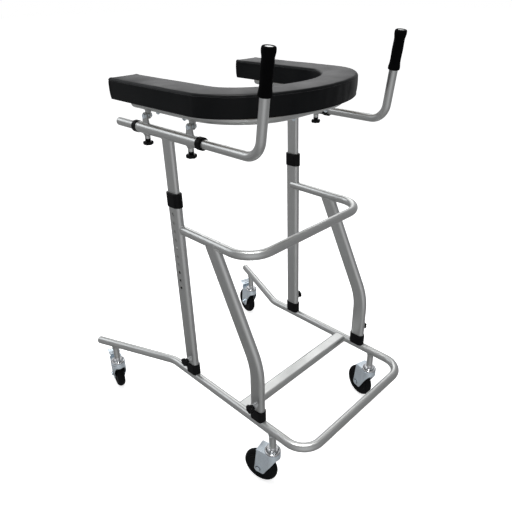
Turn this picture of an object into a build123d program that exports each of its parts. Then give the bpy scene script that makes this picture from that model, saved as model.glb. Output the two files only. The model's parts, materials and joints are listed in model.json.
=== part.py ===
from build123d import *
import math
import os

# Forearm walking frame on casters: a bent tube base, two telescopic uprights, a padded forearm
# rest on top and two sliding, turning handles.
# Millimetres. +Z is up, -Y is the walking direction, +X is the user's left.
# The origin is on the floor, under the middle of the frame.

# Driving dimensions: heights are above the floor, "ahead" is the distance in front of the uprights.
UPRIGHT_Y = 32.0  # where the feet of the uprights stand along Y
SIDE_X = 235.0  # uprights, front legs and handle sleeves, to each side of the middle
LEAN = 1.3  # degrees that the uprights lean back

BASE_HEIGHT = 203.0
BASE_SIDE = 237.0
BASE_FRONT = 452.0
BASE_CORNER = 60.0
SPLAY_START = -97.0
SPLAY_SIDE = 348.0
SPLAY_END = -369.0
SPLAY_BEND = 90.0
ROUND_TUBE = 25.0  # diameter of the base tube and the middle rail
ROUND_WALL = 2.0

OVAL_WIDE = 45.0  # flat-oval tube of the uprights, the front legs and the crossbar
OVAL_THICK = 22.0
OVAL_WALL = 1.8
INNER_WIDE = 40.0  # flat-oval tube that telescopes in the uprights
INNER_THICK = 17.0
INNER_WALL = 1.6
CROSSBAR_AHEAD = 218.0

RAIL_HEIGHT = 698.0
RAIL_SIDE = 232.0
RAIL_FRONT = 262.0
RAIL_CORNER = 70.0
LEG_AHEAD = 281.0
LEG_ANGLE = 26.6  # degrees from vertical of the upper part of a front leg
LEG_KNEE = 391.0
LEG_BEND = 180.0

UPRIGHT_TOP = 798.0
COLLAR_BOTTOM = 763.0
HOLE_TOP = 743.0
HOLE_PITCH = 25.0
HOLE_COUNT = 10
HOLE_IN_USE = 5  # the button stands in this hole, counted from the top
BUTTON_RADIUS = 4.0

SLEEVE_HEIGHT = 952.0
SLEEVE_AHEAD = -16.0
SLEEVE_LENGTH = 243.0
SLEEVE_RADIUS = 14.0
SLEEVE_WALL = 1.8
LUG_SPREAD = 89.0  # each sleeve's lugs and knobs stand this far from its middle
PIVOT_HEIGHT = 984.0

HANDLE_RADIUS = 11.0
HANDLE_WALL = 2.0
HANDLE_REAR = -235.0
HANDLE_CORNER = 300.5
HANDLE_BEND = 46.0
HANDLE_LEAN = 7.4  # degrees that the grip leans forward
HANDLE_TURN = {"right": 0.0, "left": -2.4}  # degrees that each handle stands turned in its sleeve
GRIP_BOTTOM = 1080.0
GRIP_TOP = 1173.0
GRIP_RADIUS = 15.0

PAD_BOTTOM = 1019.0
PAD_TOP = 1074.0
PAD_OUTER = 269.0
PAD_INNER = 178.0
PAD_REAR = -208.0
PAD_STRAIGHT = 110.0  # the outer sides run straight this far ahead, then turn into the front curve
PAD_FRONT = 294.0
PAD_INNER_STRAIGHT = 85.0
PAD_INNER_FRONT = 207.0
BOARD_THICK = 9.0
BOARD_INSET = 12.0
PAD_TUBE_SIDE = 226.0
PAD_TUBE_FRONT = 241.0
PAD_TUBE_REAR = -158.0
PAD_TUBE_CORNER = 160.0
PAD_TUBE_RADIUS = 11.0

WHEEL_RADIUS = 52.5
WHEEL_WIDTH = 28.0
TRAIL = 38.0  # from the swivel axis back to the axle
FORK_INNER = 16.5
FORK_SHEET = 2.5
CROWN_BOTTOM = 124.0
POST_RADIUS = 10.0
POST_BOTTOM = 146.0
FRONT_POST_AHEAD = 337.0
REAR_POST_AHEAD = -315.0
# degrees that each caster stands turned from straight back towards +X
SWIVELS = {"front_right": -13.0, "front_left": 16.0, "rear_right": 16.0, "rear_left": 16.0}
KING_PIN = 5.0
AXLE = 5.0
RUNNING_GAP = 0.05

KNOB_RADIUS = 13.5
STUD_RADIUS = 4.0

BUTTON_HEIGHT = HOLE_TOP - HOLE_PITCH * (HOLE_IN_USE - 1)
SIDES = {"right": -1, "left": 1}

nodes = {}


def ahead(distance):
    """The Y of a point that lies this far in front of the feet of the uprights."""
    return UPRIGHT_Y - distance


def leaned(shape):
    """Tilt a shape built about a vertical upright, whose foot is on the base tube at X = 0."""
    foot = Pos(0, UPRIGHT_Y, BASE_HEIGHT)
    return foot * Rot(-LEAN, 0, 0) * Pos(0, 0, -BASE_HEIGHT) * shape


def lean_back(height):
    """How far behind its foot an upright is at a height above the floor."""
    return (height - BASE_HEIGHT) * math.tan(math.radians(LEAN))


def group(*shapes):
    """Several separate solids as one node."""
    solids = []
    for shape in shapes:
        solids += shape.solids()
    return Compound(children=solids)


def rod(radius, start, end):
    """A round bar between two points."""
    run = Vector(*end) - Vector(*start)
    return extrude(Plane(origin=start, z_dir=run) * Circle(radius), run.length)


def swept(path, radius):
    """A round bar along a path."""
    return sweep(Plane(path @ 0, z_dir=path % 0) * Circle(radius), path=path)


def oval(wide, thick, bottom, top):
    """A vertical flat-oval bar about X = 0, Y = 0, wide along Y."""
    return extrude(Plane.XY.offset(bottom) * Rot(0, 0, 90) * SlotOverall(wide, thick), top - bottom)


# Base -----------------------------------------------------------------------------------------

def base_path():
    """Centreline of the base tube, from one rear end round the front to the other."""
    right = [
        (-SPLAY_SIDE, ahead(SPLAY_END), BASE_HEIGHT),
        (-BASE_SIDE, ahead(SPLAY_START), BASE_HEIGHT),
        (-BASE_SIDE, ahead(BASE_FRONT), BASE_HEIGHT),
    ]
    left = [(-x, y, z) for x, y, z in reversed(right)]
    bends = [SPLAY_BEND, BASE_CORNER, BASE_CORNER, SPLAY_BEND]
    return FilletPolyline(*right, *left, radius=bends)


def splay_angle():
    """Degrees between a splayed rear end and the Y axis."""
    return math.degrees(math.atan2(SPLAY_SIDE - BASE_SIDE, SPLAY_START - SPLAY_END))


def splay_x(distance_ahead):
    """Distance from the middle of the splayed centreline at a place behind the bend."""
    return BASE_SIDE + (SPLAY_START - distance_ahead) * math.tan(math.radians(splay_angle()))


def post_places():
    """Caster name, X and Y of its post, for the four casters."""
    places = []
    for side, sign in SIDES.items():
        places.append((f"front_{side}", sign * BASE_SIDE, ahead(FRONT_POST_AHEAD)))
        places.append((f"rear_{side}", sign * splay_x(REAR_POST_AHEAD), ahead(REAR_POST_AHEAD)))
    return places


CAP_HEAD = 6.0  # length of the rounded head of a tube plug


def domed_plug(radius, bore, stub):
    """A tube plug with a rounded head, made at the origin with the head towards +Y."""
    head = rod(radius, (0, 0, 0), (0, CAP_HEAD, 0))
    head = fillet(head.edges().group_by(Axis.Y)[-1], CAP_HEAD - 1)
    return head + rod(bore, (0, -stub, 0), (0, 0, 0))


def make_base(solid_base):
    path = base_path()
    nodes["base_tube"] = solid_base - swept(path, ROUND_TUBE / 2 - ROUND_WALL)

    bar = Plane.YZ.offset(-BASE_SIDE) * Pos(ahead(CROSSBAR_AHEAD), BASE_HEIGHT)
    outer = extrude(bar * SlotOverall(OVAL_WIDE, OVAL_THICK), 2 * BASE_SIDE)
    bore = extrude(bar * SlotOverall(OVAL_WIDE - 2 * OVAL_WALL, OVAL_THICK - 2 * OVAL_WALL), 2 * BASE_SIDE)
    nodes["base_crossbar"] = outer - bore - solid_base

    caps = []
    for sign in SIDES.values():
        turn = Rot(0, 0, -sign * splay_angle())
        plug = domed_plug(ROUND_TUBE / 2, ROUND_TUBE / 2 - ROUND_WALL, 16)
        caps.append(Pos(sign * SPLAY_SIDE, ahead(SPLAY_END), BASE_HEIGHT) * turn * plug)
    nodes["base_end_caps"] = group(*caps)

    posts = []
    flare = 12.0
    for _, x, y in post_places():
        top = BASE_HEIGHT - ROUND_TUBE / 2 + 5
        post = rod(POST_RADIUS, (x, y, POST_BOTTOM), (x, y, BASE_HEIGHT))
        post += Pos(x, y, top - flare / 2) * Cone(POST_RADIUS, POST_RADIUS + 2.5, flare)
        post -= rod(KING_PIN, (x, y, POST_BOTTOM), (x, y, BASE_HEIGHT))
        posts.append(post - solid_base)
    nodes["caster_posts"] = group(*posts)


def foot_places():
    """Y of the feet that stand on each side of the base tube, and whether each one leans."""
    return [(ahead(0), True), (ahead(LEG_AHEAD), False)]


def stand(shape, sign, leans, y):
    """Put a shape built about a vertical centreline on one side, in an upright or a front leg."""
    placed = leaned(shape) if leans else Pos(0, y, 0) * shape
    return Pos(sign * SIDE_X, 0, 0) * placed


COLLAR_LOW = 212.0
COLLAR_TOP = 248.0
COLLAR_WALL = 2.6
SPIGOT_TOP = 293.0
SPIGOT_WALL = 3.0
LEG_TUBE_LOW = 217.0
LEG_KNOB_HEIGHT = 265.0
LEG_BOSS_LENGTH = 8.0
LEG_BOSS_RADIUS = 8.0


def make_feet(solid_base):
    """Spigots welded on the base, the collars round the tube ends, and the knob bosses."""
    spigots, collars, bosses = [], [], []
    for sign in SIDES.values():
        for y, leans in foot_places():
            bore = (INNER_WIDE - 2 * SPIGOT_WALL, INNER_THICK - 2 * SPIGOT_WALL)
            core = oval(INNER_WIDE, INNER_THICK, BASE_HEIGHT, SPIGOT_TOP)
            core -= oval(*bore, BASE_HEIGHT, SPIGOT_TOP)
            spigots.append(stand(core, sign, leans, y) - solid_base)

            wide, thick = OVAL_WIDE + 2 * COLLAR_WALL, OVAL_THICK + 2 * COLLAR_WALL
            collar = oval(wide, thick, COLLAR_LOW, COLLAR_TOP)
            collar = fillet(collar.edges().group_by(Axis.Z)[-1], 1.5)
            collar -= oval(OVAL_WIDE, OVAL_THICK, LEG_TUBE_LOW, COLLAR_TOP)
            collar -= oval(INNER_WIDE, INNER_THICK, COLLAR_LOW, COLLAR_TOP)
            collars.append(stand(collar, sign, leans, y) - solid_base)

            outward = Rot(0, sign * 90, 0) * Pos(0, 0, (OVAL_THICK + LEG_BOSS_LENGTH) / 2)
            boss = outward * Cylinder(LEG_BOSS_RADIUS, LEG_BOSS_LENGTH)
            boss -= outward * Cylinder(STUD_RADIUS + RUNNING_GAP, LEG_BOSS_LENGTH)
            bosses.append(stand(Pos(0, 0, LEG_KNOB_HEIGHT) * boss, sign, leans, y))
    nodes["leg_spigots"] = group(*spigots)
    nodes["leg_collars"] = group(*collars)
    nodes["leg_knob_bosses"] = group(*bosses)


def stud_hole(sign, height):
    """Clearance hole for a knob's stud through the outer wide face of an upright or a leg."""
    return Pos(sign * OVAL_THICK / 2, 0, height) * Rot(0, 90, 0) * Cylinder(STUD_RADIUS + 0.3, 8)


def make_uprights():
    collars = []
    for side, sign in SIDES.items():
        tube = oval(OVAL_WIDE, OVAL_THICK, LEG_TUBE_LOW, UPRIGHT_TOP)
        tube -= oval(OVAL_WIDE - 2 * OVAL_WALL, OVAL_THICK - 2 * OVAL_WALL, LEG_TUBE_LOW, UPRIGHT_TOP)
        tube -= stud_hole(sign, LEG_KNOB_HEIGHT)
        for i in range(HOLE_COUNT):
            height = HOLE_TOP - HOLE_PITCH * i
            hole = Pos(sign * OVAL_THICK / 2, 0, height) * Rot(0, 90, 0) * Cylinder(BUTTON_RADIUS + 0.2, 8)
            tube -= hole
        nodes[f"{side}_upright"] = Pos(sign * SIDE_X, 0, 0) * leaned(tube)

        wide, thick = OVAL_WIDE + 2 * COLLAR_WALL, OVAL_THICK + 2 * COLLAR_WALL
        collar = oval(wide, thick, COLLAR_BOTTOM, UPRIGHT_TOP + 3)
        collar = fillet(collar.edges().group_by(Axis.Z)[-1], 1.2)
        collar -= oval(OVAL_WIDE, OVAL_THICK, COLLAR_BOTTOM, UPRIGHT_TOP)
        collar -= oval(INNER_WIDE + 0.4, INNER_THICK + 0.4, COLLAR_BOTTOM, UPRIGHT_TOP + 3)
        collars.append(Pos(sign * SIDE_X, 0, 0) * leaned(collar))
    nodes["upright_collars"] = group(*collars)


def rail_path():
    """Centreline of the middle rail, from one upright round the front to the other."""
    start = ahead(-lean_back(RAIL_HEIGHT))
    right = [(-RAIL_SIDE, start, RAIL_HEIGHT), (-RAIL_SIDE, ahead(RAIL_FRONT), RAIL_HEIGHT)]
    left = [(-x, y, z) for x, y, z in reversed(right)]
    return FilletPolyline(*right, *left, radius=RAIL_CORNER)


def make_rail_and_legs():
    solid_rail = swept(rail_path(), ROUND_TUBE / 2)
    rail = solid_rail - swept(rail_path(), ROUND_TUBE / 2 - ROUND_WALL)
    for sign in SIDES.values():
        upright = oval(OVAL_WIDE, OVAL_THICK, RAIL_HEIGHT - 40, RAIL_HEIGHT + 40)
        rail -= Pos(sign * SIDE_X, 0, 0) * leaned(upright)
    nodes["mid_rail"] = max(rail.solids(), key=lambda solid: solid.volume)

    top_ahead = LEG_AHEAD - (RAIL_HEIGHT - LEG_KNEE) * math.tan(math.radians(LEG_ANGLE))
    for side, sign in SIDES.items():
        x = sign * SIDE_X
        path = FilletPolyline(
            (x, ahead(LEG_AHEAD), LEG_TUBE_LOW),
            (x, ahead(LEG_AHEAD), LEG_KNEE),
            (x, ahead(top_ahead), RAIL_HEIGHT),
            radius=LEG_BEND,
        )
        section = Plane(path @ 0, x_dir=(0, 1, 0), z_dir=path % 0)
        outer = sweep(section * SlotOverall(OVAL_WIDE, OVAL_THICK), path=path)
        bore = SlotOverall(OVAL_WIDE - 2 * OVAL_WALL, OVAL_THICK - 2 * OVAL_WALL)
        leg = outer - sweep(section * bore, path=path) - solid_rail
        leg = max(leg.solids(), key=lambda solid: solid.volume)
        leg -= Pos(x, ahead(LEG_AHEAD), 0) * stud_hole(sign, LEG_KNOB_HEIGHT)
        nodes[f"{side}_front_leg"] = leg


# Upper frame ----------------------------------------------------------------------------------

INNER_LOW = BUTTON_HEIGHT - 58.0
BUTTON_PROUD = 2.2


def make_inner_tubes():
    """Telescopic tubes, and the sprung height button in each one."""
    for side, sign in SIDES.items():
        solid_sleeve = make_sleeve_bar(sign, SLEEVE_RADIUS)
        tube = oval(INNER_WIDE, INNER_THICK, INNER_LOW, SLEEVE_HEIGHT)
        tube -= oval(INNER_WIDE - 2 * INNER_WALL, INNER_THICK - 2 * INNER_WALL, INNER_LOW, SLEEVE_HEIGHT)
        hole = Pos(sign * INNER_THICK / 2, 0, BUTTON_HEIGHT) * Rot(0, 90, 0)
        tube -= hole * Cylinder(BUTTON_RADIUS + 0.1, 6)
        nodes[f"{side}_inner_tube"] = Pos(sign * SIDE_X, 0, 0) * leaned(tube) - solid_sleeve

        wall_inside = INNER_THICK / 2 - INNER_WALL
        tip = OVAL_THICK / 2 + BUTTON_PROUD
        pin = Rot(0, sign * 90, 0) * Pos(0, 0, (wall_inside + tip) / 2 - 0.5)
        button = pin * Cylinder(BUTTON_RADIUS, tip - wall_inside + 1)
        button = fillet(button.edges().sort_by(Axis.X)[-1 if sign > 0 else 0], 1.5)
        leaf = Pos(sign * (wall_inside - 1.0), 0, -16) * Box(1.2, 10, 56)
        nodes[f"{side}_height_button"] = Pos(sign * SIDE_X, 0, 0) * leaned(
            Pos(0, 0, BUTTON_HEIGHT) * (button + leaf)
        )


def sleeve_end(end):
    """Y of a sleeve's front end (1) or rear end (-1)."""
    return ahead(SLEEVE_AHEAD + end * SLEEVE_LENGTH / 2)


def make_sleeve_bar(sign, radius):
    x = sign * SIDE_X
    return rod(radius, (x, sleeve_end(1), SLEEVE_HEIGHT), (x, sleeve_end(-1), SLEEVE_HEIGHT))


BUSH_OUT = 16.5
BUSH_IN = 14.0
BUSH_RADIUS = 15.6
BOSS_LENGTH = 11.0


def clamp_places():
    """X sign, Y and end (1 front, -1 rear) of the four places with a lug above and a knob below."""
    return [
        (sign, ahead(SLEEVE_AHEAD + end * LUG_SPREAD), end)
        for sign in SIDES.values()
        for end in (-1, 1)
    ]


def make_sleeves():
    stud_bore = STUD_RADIUS + 0.3
    for side, sign in SIDES.items():
        sleeve = make_sleeve_bar(sign, SLEEVE_RADIUS) - make_sleeve_bar(sign, SLEEVE_RADIUS - SLEEVE_WALL)
        for clamp_sign, y, _ in clamp_places():
            if clamp_sign == sign:
                x = sign * SIDE_X
                sleeve -= rod(stud_bore, (x, y, SLEEVE_HEIGHT - 20), (x, y, SLEEVE_HEIGHT))
        nodes[f"{side}_sleeve"] = sleeve

    bushes = []
    for sign in SIDES.values():
        for end in (-1, 1):
            x, y = sign * SIDE_X, sleeve_end(end)
            out, into = y - end * BUSH_OUT, y + end * BUSH_IN
            bush = rod(BUSH_RADIUS, (x, y, SLEEVE_HEIGHT), (x, out, SLEEVE_HEIGHT))
            bush = fillet(bush.edges(), 1.5)
            bush += rod(SLEEVE_RADIUS - SLEEVE_WALL, (x, into, SLEEVE_HEIGHT), (x, y, SLEEVE_HEIGHT))
            bore = HANDLE_RADIUS + RUNNING_GAP
            bush -= rod(bore, (x, into, SLEEVE_HEIGHT), (x, out, SLEEVE_HEIGHT))
            bushes.append(bush)
    nodes["sleeve_bushes"] = group(*bushes)

    bosses = []
    for sign, y, _ in clamp_places():
        x = sign * SIDE_X
        low = SLEEVE_HEIGHT - SLEEVE_RADIUS - BOSS_LENGTH
        boss = rod(7.5, (x, y, low), (x, y, SLEEVE_HEIGHT - 8))
        boss += Pos(x, y, SLEEVE_HEIGHT - SLEEVE_RADIUS) * Cone(7.5, 11.5, 8)
        boss -= rod(STUD_RADIUS + RUNNING_GAP, (x, y, low), (x, y, SLEEVE_HEIGHT))
        bosses.append(boss - make_sleeve_bar(sign, SLEEVE_RADIUS))
    nodes["sleeve_knob_bosses"] = group(*bosses)


LUG_THICK = 5.0
LOWER_LUG_OUT = 0.0  # middle of the lower lug, outboard of the sleeve's middle
UPPER_LUG_OUT = -10.0
LUG_EYE = 9.0
LUG_BOLT = 3.0
LUG_HEXAGON = 6.3
NUT_THICK = 5.5


def lug_plate(sign, out, y, foot_height, foot_half):
    """A plate across X with a round eye at the pivot and a spread foot."""
    eye = Pos(y, PIVOT_HEIGHT) * Circle(LUG_EYE)
    neck = make_face(
        Polyline(
            (y - LUG_EYE, PIVOT_HEIGHT),
            (y + LUG_EYE, PIVOT_HEIGHT),
            (y + foot_half, foot_height),
            (y - foot_half, foot_height),
            (y - LUG_EYE, PIVOT_HEIGHT),
        )
    )
    flat = eye + neck - Pos(y, PIVOT_HEIGHT) * Circle(LUG_BOLT)
    middle = sign * (SIDE_X + out)
    return extrude(Plane.YZ.offset(middle - LUG_THICK / 2) * flat, LUG_THICK)


def make_lugs(solid_pad_frame):
    lower, upper, bolts = [], [], []
    for sign, y, _ in clamp_places():
        plate = lug_plate(sign, LOWER_LUG_OUT, y, SLEEVE_HEIGHT + 10, 13)
        lower.append(plate - make_sleeve_bar(sign, SLEEVE_RADIUS))
        plate = lug_plate(sign, UPPER_LUG_OUT, y, PAD_BOTTOM - PAD_TUBE_RADIUS, 12)
        upper.append(plate - solid_pad_frame)

        def across(out):
            return (sign * (SIDE_X + out), y, PIVOT_HEIGHT)

        head = LOWER_LUG_OUT + LUG_THICK / 2
        back = UPPER_LUG_OUT - LUG_THICK / 2
        shank = rod(LUG_BOLT, across(back - NUT_THICK - 1.5), across(head))
        head_face = Plane(across(head), z_dir=(sign, 0, 0))
        nut_face = Plane(across(back - NUT_THICK), z_dir=(sign, 0, 0))
        bolt = shank + extrude(head_face * RegularPolygon(LUG_HEXAGON, 6), 4)
        nut = extrude(nut_face * RegularPolygon(LUG_HEXAGON, 6), NUT_THICK)
        spacer = rod(5.5, across(UPPER_LUG_OUT + LUG_THICK / 2), across(LOWER_LUG_OUT - LUG_THICK / 2))
        bolts += [bolt, nut - shank, spacer - shank]
    nodes["sleeve_lugs"] = group(*lower)
    nodes["pad_lugs"] = group(*upper)
    nodes["lug_bolts"] = group(*bolts)


def pad_tube_path():
    height = PAD_BOTTOM - PAD_TUBE_RADIUS
    right = [
        (-PAD_TUBE_SIDE, ahead(PAD_TUBE_REAR), height),
        (-PAD_TUBE_SIDE, ahead(PAD_TUBE_FRONT), height),
    ]
    left = [(-x, y, z) for x, y, z in reversed(right)]
    return FilletPolyline(*right, *left, radius=PAD_TUBE_CORNER)


def u_shape(half, straight, front, rear):
    """A D shape in plan: straight sides that run into a half-ellipse at the front."""
    y = ahead(straight)
    curve = Pos(0, y) * Ellipse(half, front - straight)
    sides = Pos(0, (y + ahead(rear)) / 2) * Rectangle(2 * half, ahead(rear) - y)
    return curve + sides


def pad_plan(inset):
    """The forearm pad's plan, or a smaller one all round."""
    outer = u_shape(PAD_OUTER - inset, PAD_STRAIGHT, PAD_FRONT - inset, PAD_REAR + inset)
    hollow = u_shape(PAD_INNER + inset, PAD_INNER_STRAIGHT, PAD_INNER_FRONT + inset, PAD_REAR - 50)
    return outer - hollow


def screw_places():
    """X and Y of the screws that hold the pad's board to its tube."""
    places = [(sign * PAD_TUBE_SIDE, ahead(step)) for sign in SIDES.values() for step in (-60, 45)]
    places += [(sign * 60.0, ahead(PAD_TUBE_FRONT)) for sign in SIDES.values()]
    return places


def make_pad():
    height = PAD_BOTTOM - PAD_TUBE_RADIUS
    path = pad_tube_path()
    solid = swept(path, PAD_TUBE_RADIUS)
    for sign in SIDES.values():
        solid += Pos(sign * PAD_TUBE_SIDE, ahead(PAD_TUBE_REAR), height) * Sphere(PAD_TUBE_RADIUS)
    tube = solid - swept(path, PAD_TUBE_RADIUS - 1.5)

    screws = []
    for x, y in screw_places():
        low = height - PAD_TUBE_RADIUS
        shank = rod(2.5, (x, y, low), (x, y, PAD_BOTTOM + BOARD_THICK - 1))
        head = Pos(x, y, low) * Sphere(5) - Pos(x, y, low + 5) * Box(20, 20, 10)
        tube -= shank
        screws.append(shank + head)
    nodes["pad_frame"] = tube
    nodes["pad_screws"] = group(*screws)

    board = extrude(Plane.XY.offset(PAD_BOTTOM) * pad_plan(BOARD_INSET), BOARD_THICK)
    pad = extrude(Plane.XY.offset(PAD_BOTTOM) * pad_plan(0), PAD_TOP - PAD_BOTTOM)
    pad = fillet(pad.edges().filter_by(Axis.Z), 14)
    pad = chamfer(pad.edges().group_by(Axis.Z)[-1], 4)
    nodes["arm_pad"] = pad - board
    for x, y in screw_places():
        board -= rod(2.5, (x, y, PAD_BOTTOM), (x, y, PAD_BOTTOM + BOARD_THICK - 1))
    nodes["pad_board"] = board
    return solid


# Handles --------------------------------------------------------------------------------------

def handle_top(height):
    """Distance ahead of the handle's upright part at a height."""
    return HANDLE_CORNER + (height - SLEEVE_HEIGHT) * math.tan(math.radians(HANDLE_LEAN))


GRIP_WALL_TOP = 4.0


def make_handles():
    for side, sign in SIDES.items():
        x = sign * SIDE_X
        rear = (x, ahead(HANDLE_REAR) - CAP_HEAD, SLEEVE_HEIGHT)
        tip_height = GRIP_TOP - GRIP_WALL_TOP
        path = FilletPolyline(
            rear,
            (x, ahead(HANDLE_CORNER), SLEEVE_HEIGHT),
            (x, ahead(handle_top(tip_height)), tip_height),
            radius=HANDLE_BEND,
        )
        about_sleeve = Pos(x, 0, SLEEVE_HEIGHT) * Rot(0, HANDLE_TURN[side], 0) * Pos(-x, 0, -SLEEVE_HEIGHT)
        solid = swept(path, HANDLE_RADIUS)
        nodes[f"{side}_handle_tube"] = about_sleeve * (solid - swept(path, HANDLE_RADIUS - HANDLE_WALL))

        plug = domed_plug(HANDLE_RADIUS, HANDLE_RADIUS - HANDLE_WALL - RUNNING_GAP, 18)
        nodes[f"{side}_handle_cap"] = Pos(rear[0], rear[1] + 0.1, rear[2]) * plug

        axis = path % 1
        bottom = Vector(x, ahead(handle_top(GRIP_BOTTOM)), GRIP_BOTTOM)
        length = (GRIP_TOP - GRIP_BOTTOM) / axis.Z
        waist = GRIP_RADIUS - 2.5
        outline = make_face(
            Polyline((0, 0), (GRIP_RADIUS - 2, 0), (GRIP_RADIUS, 2), (GRIP_RADIUS, 8), (waist, 13))
            + Line((waist, 13), (waist, length - 20))
            + Polyline((waist, length - 20), (GRIP_RADIUS, length - 12), (GRIP_RADIUS, length - 2))
            + Polyline((GRIP_RADIUS, length - 2), (GRIP_RADIUS - 2, length), (0, length), (0, 0))
        )
        grip = Plane(bottom, x_dir=(1, 0, 0), z_dir=axis) * revolve(Plane.XZ * outline, Axis.Z)
        nodes[f"{side}_grip"] = about_sleeve * (grip - solid)


# Knobs ----------------------------------------------------------------------------------------

NECK_LENGTH = 6.0
HEAD_THICK = 9.0
LOBES = 6


def make_knob(stud_length):
    """A lobed clamping knob, made with its seat at the origin and its head towards +Z."""
    disc = Circle(KNOB_RADIUS)
    for place in PolarLocations(KNOB_RADIUS + 3.2, LOBES):
        disc -= place * Circle(5)
    head = extrude(Plane.XY.offset(NECK_LENGTH) * disc, HEAD_THICK)
    head = chamfer(head.edges().group_by(Axis.Z)[-1], 1.2)
    head += Pos(0, 0, NECK_LENGTH / 2) * Cone(5.5, 7.5, NECK_LENGTH)
    screw = rod(STUD_RADIUS, (0, 0, -stud_length), (0, 0, 4))
    return group(head - screw, screw)


def make_knobs():
    seat_gap = 1.5
    for side, sign in SIDES.items():
        for name, (y, leans) in zip(("upright", "leg"), foot_places()):
            seat = OVAL_THICK / 2 + LEG_BOSS_LENGTH + seat_gap
            stud = seat - INNER_THICK / 2 - 0.4
            knob = Pos(0, 0, LEG_KNOB_HEIGHT) * Rot(0, sign * 90, 0) * Pos(0, 0, seat) * make_knob(stud)
            nodes[f"{side}_{name}_knob"] = stand(knob, sign, leans, y)
    for sign, y, end in clamp_places():
        side = "right" if sign < 0 else "left"
        place = "front" if end > 0 else "rear"
        seat = SLEEVE_HEIGHT - SLEEVE_RADIUS - BOSS_LENGTH - seat_gap
        stud = SLEEVE_RADIUS - HANDLE_RADIUS + BOSS_LENGTH + seat_gap - 0.4
        knob = Pos(sign * SIDE_X, y, seat) * Rot(180, 0, 0) * make_knob(stud)
        nodes[f"{side}_{place}_sleeve_knob"] = knob


# Casters: each is made with its swivel axis on Z at the origin and its wheel trailing along +Y ---

RACE_TOP = 133.5
FLANGE_BOTTOM = 136.5
FLANGE_RADIUS = 15.5
KING_PIN_TOP = 175.0
AXLE_HEIGHT = WHEEL_RADIUS


def make_stem():
    """King pin with a retaining head below the fork and a flanged dome below the post."""
    head_bottom, head_top = CROWN_BOTTOM - 7, CROWN_BOTTOM - 4
    dome = FLANGE_RADIUS - 5
    profile = make_face(
        Polyline(
            (0, head_bottom), (9, head_bottom), (9, head_top), (KING_PIN, head_top), (KING_PIN, FLANGE_BOTTOM),
            (FLANGE_RADIUS, FLANGE_BOTTOM), (FLANGE_RADIUS, FLANGE_BOTTOM + 2), (dome, FLANGE_BOTTOM + 2),
            (dome, FLANGE_BOTTOM + 5),
        )
        + ThreePointArc((dome, FLANGE_BOTTOM + 5), (dome - 0.7, FLANGE_BOTTOM + 7.5), (8, POST_BOTTOM))
        + Polyline(
            (8, POST_BOTTOM), (KING_PIN, POST_BOTTOM), (KING_PIN, KING_PIN_TOP), (0, KING_PIN_TOP),
            (0, head_bottom),
        )
    )
    return revolve(Plane.XZ * profile, Axis.Z)


def make_fork():
    """Pressed fork: a crown with a raised ball race, and two tapering legs down to the axle."""
    outer = FORK_INNER + FORK_SHEET
    front, rear = -21.0, 42.0
    plan = Circle(22.5) + Pos(0, rear / 2) * Rectangle(2 * outer, rear)
    crown = extrude(Plane.XY.offset(CROWN_BOTTOM) * plan, 3)
    crown += Pos(0, 0, (CROWN_BOTTOM + 3 + RACE_TOP) / 2) * Cone(22.5, 19.5, RACE_TOP - CROWN_BOTTOM - 3)
    leg = make_face(
        Polyline(
            (front + 7, CROWN_BOTTOM + 3), (rear, CROWN_BOTTOM + 3), (rear + 9, 48), (rear + 4, 39),
            (28, 37), (21, 42), (front + 7, CROWN_BOTTOM - 10), (front + 7, CROWN_BOTTOM + 3),
        )
    )
    leg = fillet(leg.vertices().group_by(Axis.Y)[0], 5)
    both = extrude(Plane.YZ.offset(-outer) * leg, 2 * outer)
    both -= Box(2 * FORK_INNER, 300, 2 * CROWN_BOTTOM)
    fork = crown + both
    fork -= Pos(0, TRAIL, AXLE_HEIGHT) * Rot(0, 90, 0) * Cylinder(AXLE - 1, 60)
    return fork - rod(KING_PIN + RUNNING_GAP, (0, 0, CROWN_BOTTOM - 10), (0, 0, RACE_TOP + 10))


def make_axle():
    """Axle bolt with a spacer sleeve between the fork legs, a hexagon head and a nut."""
    outer = FORK_INNER + FORK_SHEET
    centre = Pos(0, TRAIL, AXLE_HEIGHT)
    bolt = centre * Rot(0, 90, 0) * Cylinder(AXLE - 1, 2 * outer + 2)
    bolt += centre * Rot(0, 90, 0) * Cylinder(AXLE, 2 * FORK_INNER)
    for sign in (-1, 1):
        face = Plane((sign * outer, TRAIL, AXLE_HEIGHT), z_dir=(sign, 0, 0))
        bolt += extrude(face * RegularPolygon(7, 6), 4.5)
    return bolt


def make_wheel():
    """Solid wheel: rounded tread, a dished side with a rim, and a hub."""
    half = WHEEL_WIDTH / 2
    rim = half - 1.5
    dish = half - 4
    bore = AXLE + RUNNING_GAP
    edge = WHEEL_RADIUS - 8
    side = [(bore, half), (14, half), (17, dish), (edge - 8, dish), (edge - 5, rim), (edge, rim)]
    other = [(x, -y) for x, y in reversed(side)]
    profile = make_face(
        Polyline(*side) + ThreePointArc((edge, rim), (WHEEL_RADIUS, 0), (edge, -rim)) + Polyline(*other, side[0])
    )
    wheel = revolve(profile, Axis.Y)
    return Pos(0, TRAIL, AXLE_HEIGHT) * Rot(0, 0, 90) * wheel


PEDAL_WIDTH = 38.0
PEDAL_PIVOT = (38.0, 116.5)  # along Y and Z
PEDAL_HEIGHT = 141.0  # the plate stands above the crown


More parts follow.
